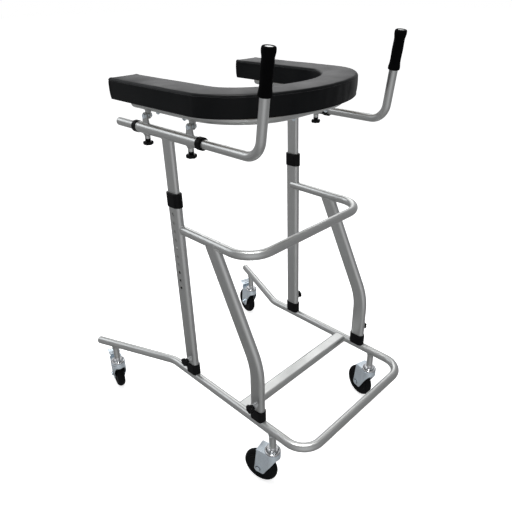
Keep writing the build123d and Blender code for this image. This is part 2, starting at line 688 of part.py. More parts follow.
def make_pedal():
    """Brake pedal: a slotted toe plate above the back of the crown, on a riser with two arms in the fork."""
    y, z = PEDAL_PIVOT
    riser = extrude(Plane.YZ.offset(-14) * trace(Line((y + 8, z + 2), (y + 9, PEDAL_HEIGHT)), 2), 28)
    rise = Polyline(
        (y - 4, PEDAL_HEIGHT - 3), (y + 9, PEDAL_HEIGHT), (y + 21, PEDAL_HEIGHT + 4), (y + 24, PEDAL_HEIGHT + 1)
    )
    plate = extrude(Plane.YZ.offset(-PEDAL_WIDTH / 2) * trace(rise, 2), PEDAL_WIDTH)
    plate -= Pos(0, y + 3, PEDAL_HEIGHT) * Box(17, 4, 20)
    arm = Pos(y, z) * Circle(4) + make_face(
        Polyline((y, z - 3.5), (y + 8, z), (y + 9, z + 6), (y + 7, z + 6), (y, z + 3.5), (y, z - 3.5))
    )
    outer = FORK_INNER - 0.4
    arms = extrude(Plane.YZ.offset(-outer) * arm, 2 * outer)
    arms -= Pos(0, y, z) * Box(2 * (outer - 1.6), 60, 60)
    bridge = Pos(0, y + 8.2, z + 3.5) * Box(2 * outer, 2, 5)
    return plate + riser + arms + bridge


def make_casters():
    stems, rings = [], []
    for name, x, y in post_places():
        place = Pos(x, y, 0) * Rot(0, 0, -SWIVELS[name])
        stems.append(place * make_stem())
        rings.append(place * Pos(0, 0, (RACE_TOP + FLANGE_BOTTOM) / 2) * Torus(14, 1.4))
        nodes[f"{name}_fork"] = place * make_fork()
        nodes[f"{name}_axle"] = place * make_axle()
        nodes[f"{name}_wheel"] = place * make_wheel()
        if name.startswith("rear"):
            nodes[f"{name}_brake_pedal"] = place * make_pedal()
    nodes["caster_stems"] = group(*stems)
    nodes["caster_ball_rings"] = group(*rings)


def make_all():
    solid_base = swept(base_path(), ROUND_TUBE / 2)
    make_base(solid_base)
    make_feet(solid_base)
    make_uprights()
    make_rail_and_legs()
    make_inner_tubes()
    make_sleeves()
    make_lugs(make_pad())
    make_handles()
    make_knobs()
    make_casters()


make_all()
os.makedirs("parts", exist_ok=True)
for name, shape in nodes.items():
    export_step(shape, f"parts/{name}.step")
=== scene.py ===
import json
import math

import bpy
from mathutils import Matrix, Vector, noise
from mathutils.bvhtree import BVHTree


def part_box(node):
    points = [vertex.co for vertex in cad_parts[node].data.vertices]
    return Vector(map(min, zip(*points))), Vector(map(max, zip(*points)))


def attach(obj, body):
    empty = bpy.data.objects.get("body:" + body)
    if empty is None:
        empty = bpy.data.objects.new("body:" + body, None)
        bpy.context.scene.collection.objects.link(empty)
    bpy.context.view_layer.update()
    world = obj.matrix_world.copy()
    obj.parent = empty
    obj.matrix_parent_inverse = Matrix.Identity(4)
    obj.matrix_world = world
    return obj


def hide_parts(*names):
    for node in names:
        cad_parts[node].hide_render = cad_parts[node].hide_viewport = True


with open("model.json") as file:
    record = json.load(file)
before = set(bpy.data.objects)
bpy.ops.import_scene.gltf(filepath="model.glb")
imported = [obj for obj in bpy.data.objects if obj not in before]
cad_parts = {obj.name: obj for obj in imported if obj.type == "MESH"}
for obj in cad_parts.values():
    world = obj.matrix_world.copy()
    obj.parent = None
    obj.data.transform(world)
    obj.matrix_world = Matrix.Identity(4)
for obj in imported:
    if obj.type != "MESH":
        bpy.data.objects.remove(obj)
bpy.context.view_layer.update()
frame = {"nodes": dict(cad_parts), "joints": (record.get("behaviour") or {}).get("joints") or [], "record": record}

# Looks of a forearm walking frame on casters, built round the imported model. Sizes are in metres,
# except in tables and sections that say mm.
# +Z is up, -Y is the walking direction, +X is the user's left.

NODES = frame["nodes"]
JOINTS = {joint["name"]: joint for joint in frame["joints"]}
SLOTS = {part["node"]: part["material_slot"] for part in frame["record"]["subparts"]}
SIDES = {"right": -1, "left": 1}
CASTERS = ("front_right", "front_left", "rear_right", "rear_left")
MM = 0.001

LEAN = math.radians(1.3)  # how far the uprights lean back
HANDLE_LEAN = math.radians(7.4)  # how far the grips lean forward
HANDLE_TURN = {"right": 0.0, "left": math.radians(-2.4)}  # how each handle stands turned in its sleeve
LEG_ANGLE = math.radians(26.6)  # of the upper part of a front leg, from vertical
TUBE_RADIUS = 12.5 * MM
OVAL_WIDE, OVAL_THICK = 45 * MM, 22 * MM
INNER_WIDE, INNER_THICK = 40 * MM, 17 * MM
UP = Vector((0, 0, 1))


# Small helpers --------------------------------------------------------------------------------

def middle(node):
    """Centre of a CAD node's box."""
    low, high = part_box(node)
    return (low + high) / 2


def frame_at(origin, x_axis, y_axis, z_axis):
    """A placing matrix from an origin and three axes."""
    turned = Matrix((x_axis, y_axis, z_axis)).transposed().to_4x4()
    return Matrix.Translation(origin) @ turned


def axis_frame(origin, axis):
    """A placing matrix whose Z runs along an axis."""
    return Matrix.Translation(origin) @ Vector(axis).to_track_quat("Z", "Y").to_matrix().to_4x4()


def placed(shape, matrix):
    points, faces = shape
    return [matrix @ Vector(p) for p in points], faces


def joined(*shapes):
    """Several shapes as one."""
    points, faces = [], []
    for some_points, some_faces in shapes:
        start = len(points)
        points += list(some_points)
        faces += [tuple(i + start for i in face) for face in some_faces]
    return points, faces


def skinned(rings, closed=False, capped=True):
    """Rings of equally many points, joined by quads into a tube; each end gets a flat cap."""
    count = len(rings[0])
    points = [point for ring in rings for point in ring]
    faces = []
    spans = len(rings) if closed else len(rings) - 1
    for i in range(spans):
        a, b = i * count, (i + 1) % len(rings) * count
        for k in range(count):
            m = (k + 1) % count
            faces.append((a + k, a + m, b + m, b + k))
    if capped and not closed:
        faces.append(tuple(reversed(range(count))))
        faces.append(tuple(range((len(rings) - 1) * count, len(rings) * count)))
    return points, faces


def lathe(profile, segments=48):
    """A profile of (radius, height) turned about Z; a radius of 0 at an end closes it."""
    points, faces, rows = [], [], []
    for radius, height in profile:
        start = len(points)
        if radius == 0:
            points.append(Vector((0, 0, height)))
            rows.append([start] * segments)
            continue
        for k in range(segments):
            a = math.tau * k / segments
            points.append(Vector((radius * math.cos(a), radius * math.sin(a), height)))
        rows.append(list(range(start, start + segments)))
    for low, high in zip(rows, rows[1:]):
        for k in range(segments):
            m = (k + 1) % segments
            corners = [low[k], low[m], high[m], high[k]]
            face = tuple(dict.fromkeys(corners))
            if len(face) > 2:
                faces.append(face)
    return points, faces


def piece(name, shape, look, body, smooth=True, subdivide=0):
    """A mesh object that rides on a body."""
    points, faces = shape
    mesh = bpy.data.meshes.new(name)
    mesh.from_pydata([tuple(p) for p in points], [], faces)
    mesh.validate()
    mesh.materials.append(look)
    made = bpy.data.objects.new(name, mesh)
    bpy.context.scene.collection.objects.link(made)
    if smooth:
        mesh.polygons.foreach_set("use_smooth", [True] * len(mesh.polygons))
    if subdivide:
        finer = made.modifiers.new("finer", "SUBSURF")
        finer.levels = subdivide
        finer.render_levels = subdivide
    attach(made, body)
    return made


# Materials ------------------------------------------------------------------------------------

def add(tree, kind, values=None, **settings):
    """A shader node with some socket values and settings."""
    made = tree.nodes.new(kind)
    for name, value in settings.items():
        setattr(made, name, value)
    for name, value in (values or {}).items():
        made.inputs[name].default_value = value
    return made


def new_material(name, values):
    """A material, its node tree, its shader, and a node that gives places on the object."""
    made = bpy.data.materials.new(name)
    made.use_nodes = True
    tree = made.node_tree
    shader = tree.nodes["Principled BSDF"]
    for socket, value in values.items():
        shader.inputs[socket].default_value = value
    return made, tree, shader, add(tree, "ShaderNodeTexCoord")


def cloud(tree, where, scale, detail=2.0, roughness=0.5):
    """Noise in object space."""
    made = add(tree, "ShaderNodeTexNoise", {"Scale": scale, "Detail": detail, "Roughness": roughness})
    tree.links.new(where.outputs["Object"], made.inputs["Vector"])
    return made.outputs["Fac"]


def cells(tree, where, scale):
    """Rounded Voronoi cells in object space."""
    made = add(tree, "ShaderNodeTexVoronoi", {"Scale": scale}, feature="SMOOTH_F1")
    tree.links.new(where.outputs["Object"], made.inputs["Vector"])
    return made.outputs["Distance"]


def ramp(tree, factor, low, high, start=0.35, end=0.65):
    """Colours from low to high as a factor grows from start to end."""
    made = add(tree, "ShaderNodeValToRGB")
    first, last = made.color_ramp.elements
    first.position, first.color = start, (*low, 1)
    last.position, last.color = end, (*high, 1)
    tree.links.new(factor, made.inputs["Fac"])
    return made.outputs["Color"]


def spread(tree, factor, low, high, start=0.3, end=0.7):
    """A number from low to high as a factor grows from start to end."""
    values = {"From Min": start, "From Max": end, "To Min": low, "To Max": high}
    made = add(tree, "ShaderNodeMapRange", values)
    tree.links.new(factor, made.inputs["Value"])
    return made.outputs["Result"]


def bump(tree, shader, height, strength, depth, under=None):
    """Relief of a depth in metres; under is the node whose normal it starts from."""
    made = add(tree, "ShaderNodeBump", {"Strength": strength, "Distance": depth})
    tree.links.new(height, made.inputs["Height"])
    if under is not None:
        tree.links.new(under.outputs["Normal"], made.inputs["Normal"])
    tree.links.new(made.outputs["Normal"], shader.inputs["Normal"])
    return made


def tinted(tone, amount):
    return tuple(c * amount for c in tone)


def metal(name, tone, rough, grain_scale, relief, metallic=1.0, edge=0.0):
    """Metal with a fine grain, uneven gloss and, if edge is given, slightly rounded edges."""
    values = {"Metallic": metallic}
    made, tree, shader, where = new_material(name, values)
    grain = cloud(tree, where, grain_scale, 2)
    patches = cloud(tree, where, 22, 4, 0.6)
    colour = ramp(tree, grain, tinted(tone, 0.9), tinted(tone, 1.06))
    tree.links.new(colour, shader.inputs["Base Color"])
    tree.links.new(spread(tree, patches, rough * 0.86, rough * 1.16), shader.inputs["Roughness"])
    under = add(tree, "ShaderNodeBevel", {"Radius": edge}, samples=4) if edge else None
    bump(tree, shader, grain, 0.35, relief, under)
    return made


def moulded(name, tone, rough, grain_scale, strength, depth, shine, edge=0.0):
    """Moulded plastic or rubber with a fine texture and slightly uneven gloss."""
    made, tree, shader, where = new_material(name, {"Specular IOR Level": shine})
    grain = cloud(tree, where, grain_scale, 3, 0.6)
    patches = cloud(tree, where, 35, 4, 0.6)
    colour = ramp(tree, patches, tinted(tone, 0.75), tinted(tone, 1.3))
    tree.links.new(colour, shader.inputs["Base Color"])
    tree.links.new(spread(tree, patches, rough * 0.85, rough * 1.15), shader.inputs["Roughness"])
    under = add(tree, "ShaderNodeBevel", {"Radius": edge}, samples=4) if edge else None
    bump(tree, shader, grain, strength, depth, under)
    return made


def vinyl():
    """Black upholstery vinyl: a pebbled grain, fine creases and a soft uneven gloss."""
    made, tree, shader, where = new_material("black_vinyl", {"Specular IOR Level": 0.13})
    pebbles = cells(tree, where, 620)
    creases = cloud(tree, where, 240, 5, 0.65)
    patches = cloud(tree, where, 12, 4, 0.55)
    colour = ramp(tree, patches, (0.0018, 0.0022, 0.0026), (0.0034, 0.0038, 0.0042))
    tree.links.new(colour, shader.inputs["Base Color"])
    tree.links.new(spread(tree, patches, 0.36, 0.47), shader.inputs["Roughness"])
    coarse = bump(tree, shader, creases, 0.25, 0.35 * MM)
    bump(tree, shader, pebbles, 0.35, 0.25 * MM, coarse)
    return made


def plywood():
    """Pale plywood with a stretched grain."""
    made, tree, shader, where = new_material("plywood", {"Specular IOR Level": 0.3})
    stretched = add(tree, "ShaderNodeMapping", {"Scale": (1.0, 0.08, 1.0)})
    tree.links.new(where.outputs["Object"], stretched.inputs["Vector"])
    grain = add(tree, "ShaderNodeTexNoise", {"Scale": 160.0, "Detail": 5.0, "Distortion": 0.6})
    tree.links.new(stretched.outputs["Vector"], grain.inputs["Vector"])
    factor = grain.outputs["Fac"]
    tree.links.new(ramp(tree, factor, (0.12, 0.09, 0.065), (0.20, 0.155, 0.11)), shader.inputs["Base Color"])
    tree.links.new(spread(tree, factor, 0.5, 0.75), shader.inputs["Roughness"])
    bump(tree, shader, factor, 0.3, 0.2 * MM)
    return made


SILVER = (0.60, 0.61, 0.60)
ZINC = (0.72, 0.80, 0.86)
SOOT = (0.0022, 0.0022, 0.0026)
LOOKS = {
    "silver_tube": metal("silver_tube", SILVER, 0.32, 1500, 0.03 * MM, 0.92),
    "silver_plug": metal("silver_plug", (0.56, 0.57, 0.565), 0.36, 1500, 0.04 * MM, 0.92),
    "zinc_plated_steel": metal("zinc_plated_steel", ZINC, 0.3, 420, 0.05 * MM, 0.78),
    "spring_steel": metal("spring_steel", (0.70, 0.70, 0.68), 0.2, 900, 0.03 * MM, 1.0, 0.3 * MM),
    "black_plastic": moulded("black_plastic", SOOT, 0.46, 1400, 0.25, 0.12 * MM, 0.12, 0.5 * MM),
    "knob_plastic": moulded("knob_plastic", SOOT, 0.4, 1300, 0.2, 0.1 * MM, 0.14),
    "grip_rubber": moulded("grip_rubber", (0.001, 0.001, 0.0012), 0.7, 1900, 0.6, 0.3 * MM, 0.04),
    "wheel_rubber": moulded("wheel_rubber", (0.002, 0.0024, 0.003), 0.5, 900, 0.25, 0.15 * MM, 0.1),
    "black_vinyl": vinyl(),
    "plywood": plywood(),
}
CHROME = metal("chrome", (0.80, 0.81, 0.82), 0.12, 700, 0.015 * MM)
WELD = metal("weld", tinted(SILVER, 0.95), 0.4, 800, 0.2 * MM, 0.9)
DARK_STEEL = metal("dark_steel", (0.20, 0.21, 0.23), 0.4, 600, 0.03 * MM)
THREAD = moulded("thread", (0.012, 0.012, 0.013), 0.5, 2500, 0.5, 0.1 * MM, 0.5)


def dress_frame():
    """Every CAD node gets the material of its slot."""
    for name, node in NODES.items():
        look = LOOKS[SLOTS[name]]
        if name in ("caster_stems", "leg_knob_bosses"):
            look = CHROME
        node.data.materials.clear()
        node.data.materials.append(look)


# Forearm pad ----------------------------------------------------------------------------------

PAD_ARM = 91 * MM  # width of an arm of the pad
PAD_BOW = 87 * MM  # width at the front
PAD_STRAIGHT = 318 * MM  # the outer edge runs straight this far from the rear end
PAD_HOLLOW_STRAIGHT = 293 * MM
PAD_ROLL = 7 * MM  # radius of the rolled top edge
PAD_SEAM = 2 * MM  # the seam is this far below the roll
PAD_CORNER = 7 * MM
PAD_CROWN = 2 * MM
PAD_CROWN_RUN = 14 * MM  # the crown is reached over about this distance
BOARD_INSET = 12.5 * MM  # the underside is raised by BOARD_ROOM from here inwards
BOARD_ROOM = 2 * MM  # hides the underside behind the board's lower face; the board stands in the pad
PAD_SWELL = 2.5 * MM  # no point is blown up further than this
STITCH_RAISE = 0.8 * MM
CLOTH_FRAMES = 14
GATHER_DEPTH = 0.45 * MM  # of the gathers along the seam and of the slow waves
GATHER_REACH = 6 * MM
BOW_STEPS = 96
ARM_STEP = 6 * MM
# distances in from an edge, close together where the edge rolls over
EDGE_STEPS = tuple(step * MM for step in (0, 0.5, 1.6, 3.2, 5.2, 7.5, 11, 16, 22, 29, 36.5))

# mm below the top of the wall, and how far out, down the wall
PAD_WALL = (
    (0.9, 0.0), (1.6, -0.5), (2.0, -1.3), (2.4, -0.5), (3.2, 0.1), (7, 0.6), (12, 0.9), (18, 1.0),
    (25, 0.9), (31, 0.6), (36, 0.2), (40, -0.4),
)


def pad_rows():
    """Inner point, outer point and distance from the nearer rear end, for each row across the pad."""
    low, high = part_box("arm_pad")
    half, rear = high.x, high.y
    outer_turn, inner_turn = rear - PAD_STRAIGHT, rear - PAD_HOLLOW_STRAIGHT
    outer_depth = outer_turn - low.y
    inner_depth = inner_turn - low.y - PAD_BOW
    steps = list(EDGE_STEPS)
    while steps[-1] + 1.5 * ARM_STEP < PAD_STRAIGHT:
        steps.append(steps[-1] + ARM_STEP)
    right = []
    for step in steps:
        share = step / PAD_STRAIGHT
        inner = Vector((-half + PAD_ARM, rear - share * PAD_HOLLOW_STRAIGHT))
        right.append((inner, Vector((-half, rear - step)), step))
    bow = []
    for i in range(BOW_STEPS + 1):
        a = math.pi * i / BOW_STEPS
        inner = Vector(((PAD_ARM - half) * math.cos(a), inner_turn - inner_depth * math.sin(a)))
        outer = Vector((-half * math.cos(a), outer_turn - outer_depth * math.sin(a)))
        bow.append((inner, outer, PAD_STRAIGHT))
    left = [(Vector((-a.x, a.y)), Vector((-b.x, b.y)), step) for a, b, step in reversed(right)]
    return right + bow + left


def corner_place(end, side):
    """Distances from an end and a side, moved so that the corner between them is round."""
    if end >= PAD_CORNER or side >= PAD_CORNER:
        return end, side, min(end, side)
    p, q = 1 - end / PAD_CORNER, 1 - side / PAD_CORNER
    p, q = p * math.sqrt(1 - q * q / 2), q * math.sqrt(1 - p * p / 2)
    return PAD_CORNER * (1 - p), PAD_CORNER * (1 - q), PAD_CORNER * (1 - math.hypot(p, q))


def pad_grid():
    """Plan places, and how far each is from the edge, in rows across the pad."""
    columns = list(EDGE_STEPS) + [PAD_ARM / 2] + [PAD_ARM - step for step in reversed(EDGE_STEPS)]
    grid = []
    for inner, outer, end in pad_rows():
        across = (outer - inner).length
        along = Vector((0, -1, 0)).to_2d()
        row = []
        for column in columns:
            side = min(column, PAD_ARM - column)
            new_end, new_side, edge = corner_place(end, side)
            moved = new_side if column < PAD_ARM / 2 else PAD_ARM - new_side
            place = inner.lerp(outer, moved / PAD_ARM) + along * (new_end - end)
            row.append((place, edge * across / PAD_ARM))
        grid.append(row)
    return grid


def pad_top_height(edge):
    """Height above the wall's top at a distance in from the edge."""
    short = max(PAD_ROLL - edge, 0)
    roll = math.sqrt(PAD_ROLL**2 - short**2)
    return roll + PAD_CROWN * (1 - math.exp(-max(edge - PAD_ROLL, 0) / PAD_CROWN_RUN))


def loop_normals(loop):
    """Outward plan normals of a loop that runs clockwise seen from above."""
    normals = []
    for i in range(len(loop)):
        along = loop[(i + 1) % len(loop)] - loop[i - 1]
        normals.append(Vector((-along.y, along.x)).normalized())
    return normals


def pad_shape():
    """The pad as (points, faces), with the index lists of its edge loop and of what stays fixed."""
    low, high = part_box("arm_pad")
    grid = pad_grid()
    rows, columns = len(grid), len(grid[0])
    wall_top = high.z - PAD_ROLL - PAD_CROWN / 2
    points, faces = [], []
    for row in grid:
        for place, edge in row:
            points.append(Vector((place.x, place.y, wall_top + pad_top_height(edge))))

    def at(i, k):
        return i * columns + k

    for i in range(rows - 1):
        for k in range(columns - 1):
            faces.append((at(i, k), at(i + 1, k), at(i + 1, k + 1), at(i, k + 1)))
    border = [at(i, 0) for i in range(rows)]
    border += [at(rows - 1, k) for k in range(1, columns)]
    border += [at(i, columns - 1) for i in range(rows - 2, -1, -1)]
    border += [at(0, k) for k in range(columns - 2, 0, -1)]
    loop = [points[i].to_2d() for i in border]
    outward = loop_normals(loop)
    if (loop[rows // 2] + outward[rows // 2] * MM).y < loop[rows // 2].y:
        outward = [-n for n in outward]

    height = wall_top - low.z
    rings = [(depth * MM, out * MM) for depth, out in PAD_WALL]
    rings += [(height - 1 * MM, -1.2 * MM), (height, -2.4 * MM)]
    previous = border
    seam = []
    for depth, out in rings:
        ring = []
        for place, normal in zip(loop, outward):
            moved = place + normal * out
            ring.append(len(points))
            points.append(Vector((moved.x, moved.y, wall_top - depth)))
        if abs(depth - PAD_SEAM) < 1e-6:
            seam = ring
        for k in range(len(ring)):
            m = (k + 1) % len(ring)
            faces.append((previous[k], ring[k], ring[m], previous[m]))
        previous = ring

    # the underside: flat round the board, then raised a little so that the board's lower face shows
    bottom = {}
    edge_index = dict(zip(border, previous))
    for i, row in enumerate(grid):
        for k, (place, edge) in enumerate(row):
            if at(i, k) in edge_index:
                bottom[i, k] = edge_index[at(i, k)]
            else:
                raised = BOARD_ROOM if edge > BOARD_INSET else 0
                bottom[i, k] = len(points)
                points.append(Vector((place.x, place.y, low.z + raised)))
    for i in range(rows - 1):
        for k in range(columns - 1):
            faces.append((bottom[i, k], bottom[i, k + 1], bottom[i + 1, k + 1], bottom[i + 1, k]))
    fixed = set(bottom.values()) | set(seam)
    return (points, faces), border, outward, fixed


def stuffed(made, fixed, cap):
    """Blow a closed mesh up as cloth held at its fixed points, no point moving further than cap."""
    mesh = made.data
    start = [v.co.copy() for v in mesh.vertices]
    held = made.vertex_groups.new(name="held")
    held.add(sorted(fixed), 1.0, "REPLACE")
    cloth = made.modifiers.new("cloth", "CLOTH")
    settings = cloth.settings
    settings.quality = 5
    settings.mass = 0.2
    settings.tension_stiffness = 25
    settings.compression_stiffness = 25
    settings.shear_stiffness = 10
    settings.bending_stiffness = 1.5
    settings.use_pressure = True
    settings.uniform_pressure_force = 4.0
    settings.vertex_group_mass = "held"
    settings.effector_weights.gravity = 0
    scene = bpy.context.scene
    cloth.point_cache.frame_start = 1
    cloth.point_cache.frame_end = CLOTH_FRAMES
    for number in range(1, CLOTH_FRAMES + 1):
        scene.frame_set(number)
    evaluated = made.evaluated_get(bpy.context.evaluated_depsgraph_get())
    moved = [v.co.copy() for v in evaluated.data.vertices]
    made.modifiers.remove(cloth)
    made.vertex_groups.remove(held)
    scene.frame_set(1)
    for vertex, was, now in zip(mesh.vertices, start, moved):
        shift = now - was
        if shift.length > 1e-7:
            vertex.co = was + shift.normalized() * cap * math.tanh(shift.length / cap)
    mesh.update()


def puckered(made, seam_height):
    """Small gathers along the seam and slow waves elsewhere."""
    for vertex in made.data.vertices:
        place = vertex.co
        near = math.exp(-abs(place.z - seam_height) / GATHER_REACH)
        gathers = noise.noise(Vector((place.x * 110, place.y * 110, place.z * 25)))
        waves = noise.noise(Vector((place.x * 14 + 3, place.y * 14, place.z * 14)))
        normal = vertex.normal
        vertex.co = place + normal * GATHER_DEPTH * (near * gathers + waves)


def stitches(loop, outward, pitch=4.6 * MM, length=3.2 * MM, thick=0.42 * MM):
    """Thread lying along a loop of points, one short capsule for each stitch."""
    shapes = []
    total = 0.0
    target = 0.0
    for i, start in enumerate(loop):
        end = loop[(i + 1) % len(loop)]
        run = end - start
        while target < total + run.length:
            place = start + run * ((target - total) / run.length) + outward[i].to_3d() * thick * 0.5
            along = axis_frame(place, run)
            profile = [(0, -length / 2), (thick * 0.7, -length * 0.42), (thick, -length * 0.2)]
            profile += [(thick, length * 0.2), (thick * 0.7, length * 0.42), (0, length / 2)]
            shapes.append(placed(lathe(profile, 6), along))
            target += pitch
        total += run.length
    return joined(*shapes)


def make_pad():
    shape, border, outward, fixed = pad_shape()
    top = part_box("arm_pad")[1].z
    seam_height = top - PAD_ROLL - PAD_CROWN / 2 - PAD_SEAM
    pad = piece("forearm_pad", shape, LOOKS["black_vinyl"], "upper_frame")
    stuffed(pad, fixed, PAD_SWELL)
    puckered(pad, seam_height)
    loop = [pad.data.vertices[i].co.copy() for i in border]
    finer = pad.modifiers.new("finer", "SUBSURF")
    finer.levels = 1
    finer.render_levels = 1
    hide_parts("arm_pad")
    raised = [place + UP * STITCH_RAISE for place in loop]
    piece("pad_stitching", stitches(raised, outward), THREAD, "upper_frame")


# Grips ----------------------------------------------------------------------------------------

GRIP_LENGTH = 93.8 * MM
# radius and height in mm, from the lower mouth up the outside to the hole in the top
GRIP_PROFILE = (
    (11.1, 3.0), (11.3, 0.6), (12.4, 0.0), (14.0, 0.5), (14.8, 2.2), (15.0, 5.0), (14.8, 8.5), (14.0, 12.5),
    (13.3, 17.0), (13.0, 23.0), (13.1, 31.0), (13.4, 40.0), (13.5, 48.0), (13.4, 56.0), (13.1, 64.0),
    (12.9, 70.0), (13.1, 74.5), (13.9, 78.5), (14.8, 82.5), (15.0, 86.0), (14.9, 89.5), (14.2, 92.2),
    (12.8, 93.6), (11.0, 93.8), (9.8, 93.5), (9.4, 92.6), (9.3, 91.5),
)
GRIP_END_PROFILE = ((9.35, 90.0), (9.3, 91.9), (8.2, 92.5), (5, 92.85), (0, 92.9))


def make_grips():
    for side in SIDES:
        node = f"{side}_grip"
        axis = Vector((0, -math.sin(HANDLE_LEAN), math.cos(HANDLE_LEAN)))
        axis.rotate(Matrix.Rotation(HANDLE_TURN[side], 3, "Y"))
        foot = middle(node) - axis * GRIP_LENGTH / 2
        place = axis_frame(foot, axis)
        profile = [(r * MM, h * MM) for r, h in GRIP_PROFILE]
        cover = piece(
            f"{side}_grip_cover", placed(lathe(profile, 64), place), LOOKS["grip_rubber"], f"{side}_handle",
            subdivide=1,
        )
        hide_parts(node)
        disc = [(r * MM, h * MM) for r, h in GRIP_END_PROFILE]
        piece(
            f"{side}_grip_end", placed(lathe(disc, 40), place), LOOKS["silver_plug"], f"{side}_handle",
        )


# Wheels and forks -----------------------------------------------------------------------------

# half section in mm: radius, distance from the middle plane
WHEEL_SIDE = (
    (5.05, 13.0), (5.6, 13.8), (11.5, 14.0), (12.6, 13.6), (13.4, 12.0), (15.5, 10.4), (19.0, 9.9),
    (33.4, 9.6), (36.0, 10.0), (37.2, 11.2), (38.2, 11.6), (39.6, 11.6), (40.6, 11.0), (41.3, 10.7),
    (42.0, 11.1), (43.1, 12.2), (44.5, 12.5),
)
WHEEL_RADIUS = 52.5
TREAD_STEPS = 9


def tread_profile():
    """The round tread between the two edges of the wheel."""
    edge, half = WHEEL_SIDE[-1]
    rise = WHEEL_RADIUS - edge
    radius = (rise**2 + half**2) / (2 * rise)
    turn = math.asin(half / radius)
    made = []
    for i in range(1, 2 * TREAD_STEPS):
        a = turn * (1 - i / TREAD_STEPS)
        made.append((WHEEL_RADIUS - radius + radius * math.cos(a), radius * math.sin(a)))
    return made


def make_wheels():
    for name in CASTERS:
        roll = JOINTS[f"{name}_roll"]
        place = axis_frame(Vector(roll["pos_m"]), roll["axis"])
        profile = list(WHEEL_SIDE) + tread_profile() + [(r, -x) for r, x in reversed(WHEEL_SIDE)]
        profile.append(WHEEL_SIDE[0])
        profile = [(r * MM, x * MM) for r, x in profile]
        wheel = piece(
            f"{name}_solid_wheel", placed(lathe(profile, 96), place), LOOKS["wheel_rubber"],
            f"{name}_rolling_wheel",
        )
        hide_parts(f"{name}_wheel")


CROWN_LOW, CROWN_TOP = 124.0, 127.0  # mm, like all the sizes of the fork below
RACE_RADIUS = 22.4
FORK_HALF = 19.0
FORK_SHEET = 2.5
CROWN_REAR = 42.0
CROWN_GROWN = 1.03  # the crown's edge stands out this much past the sheet below it
LEG_REAR, LEG_REAR_LOW = 51.0, 47.0  # where the rear edge of a leg is at its lowest corner, Y and Z
LEG_BACK = 19.0  # behind this the legs sweep back, towards LEG_REAR
LEG_TOE_IN = 0.9
TRAIL = 38.0  # from the swivel axis back to the axle
# lower edge of a leg, going forward: curved down to FOOT_REAR, level, curved from FOOT_FRONT, then straight
FOOT_REAR, FOOT_FRONT, SLOPE_START = 44, 24, 18
FOOT_LOW = 38.5
FOOT_CURVE = 0.15
SLOPE_LOW = FOOT_LOW + FOOT_CURVE * (FOOT_FRONT - SLOPE_START) ** 2
SLOPE = 1.85
SKIRT_LOW = 109.0  # the straight part ends at this height, in a short skirt round the front
SHEET_ROWS = 10
ARC_STEPS = 28


def fork_line():
    """Plan of the fork's sheet: one leg, round the front under the ball race, the other leg."""
    turn = math.acos(FORK_HALF / RACE_RADIUS)
    corner = RACE_RADIUS * math.sin(turn)
    leg = [(FORK_HALF, CROWN_REAR + (corner - CROWN_REAR) * i / 20) for i in range(20)]
    bow = []
    for i in range(ARC_STEPS + 1):
        a = turn - (math.pi + 2 * turn) * i / ARC_STEPS
        bow.append((RACE_RADIUS * math.cos(a), RACE_RADIUS * math.sin(a)))
    return leg + bow + [(-x, y) for x, y in reversed(leg)]


def sheet_foot(y):
    """Height of the sheet's lower edge: under the axle, then straight up to the short front skirt."""
    if y > FOOT_REAR:
        return 39 + 8 * ((y - FOOT_REAR) / 7) ** 2
    if y > FOOT_FRONT:
        return FOOT_LOW
    if y > SLOPE_START:
        return FOOT_LOW + FOOT_CURVE * (FOOT_FRONT - y) ** 2
    return min(SLOPE_LOW + SLOPE * (SLOPE_START - y), SKIRT_LOW)


def fork_sheet():
    """Mid surface of the pressed sheet below the crown, in metres."""
    points, faces = [], []
    line = fork_line()
    for x, y in line:
        behind = max(0, (y - LEG_BACK) / (CROWN_REAR - LEG_BACK))
        foot_y = y + behind * (LEG_REAR - CROWN_REAR)
        foot = sheet_foot(foot_y)
        for k in range(SHEET_ROWS + 1):
            share = k / SHEET_ROWS
            height = CROWN_LOW + 1 + (foot - CROWN_LOW - 1) * share
            lean = min(1, (CROWN_LOW - height) / (CROWN_LOW - LEG_REAR_LOW)) if height < CROWN_LOW else 0
            side = math.copysign(abs(x) - FORK_SHEET / 2 - LEG_TOE_IN * behind * lean, x)
            points.append(Vector((side, y + behind * (LEG_REAR - CROWN_REAR) * lean, height)) * MM)
    rows = SHEET_ROWS + 1
    for i in range(len(line) - 1):
        for k in range(SHEET_ROWS):
            faces.append((i * rows + k, i * rows + k + 1, (i + 1) * rows + k + 1, (i + 1) * rows + k))
    return points, faces


def slab(outline, low, high, edge):
    """A plate with a convex outline and rounded upper edges, in the units of the outline."""
    middle_x = sum(x for x, _ in outline) / len(outline)
    middle_y = sum(y for _, y in outline) / len(outline)

    def ring(inset, height):
        made = []
        for x, y in outline:
            away = Vector((x - middle_x, y - middle_y))
            away *= 1 - inset / away.length
            made.append(Vector((middle_x + away.x, middle_y + away.y, height)) * MM)
        return made

    rings = [ring(0, low), ring(0, high - edge), ring(edge * 0.3, high - edge * 0.3), ring(edge, high)]
    return skinned(rings)


RACE_PROFILE = (
    (20.6, 126.5), (20.6, 128.0), (22.4, 128.4), (22.9, 129.6), (22.7, 131.4), (21.9, 132.8), (20.7, 133.5),
    (19.6, 133.3), (18.8, 132.2), (18.3, 130.4), (5.3, 130.2), (5.1, 129.0),
)
WASHER_PROFILE = ((0, 0), (8.4, 0), (8.6, 0.4), (8.4, 0.8), (7.8, 1.0), (0, 1.0))


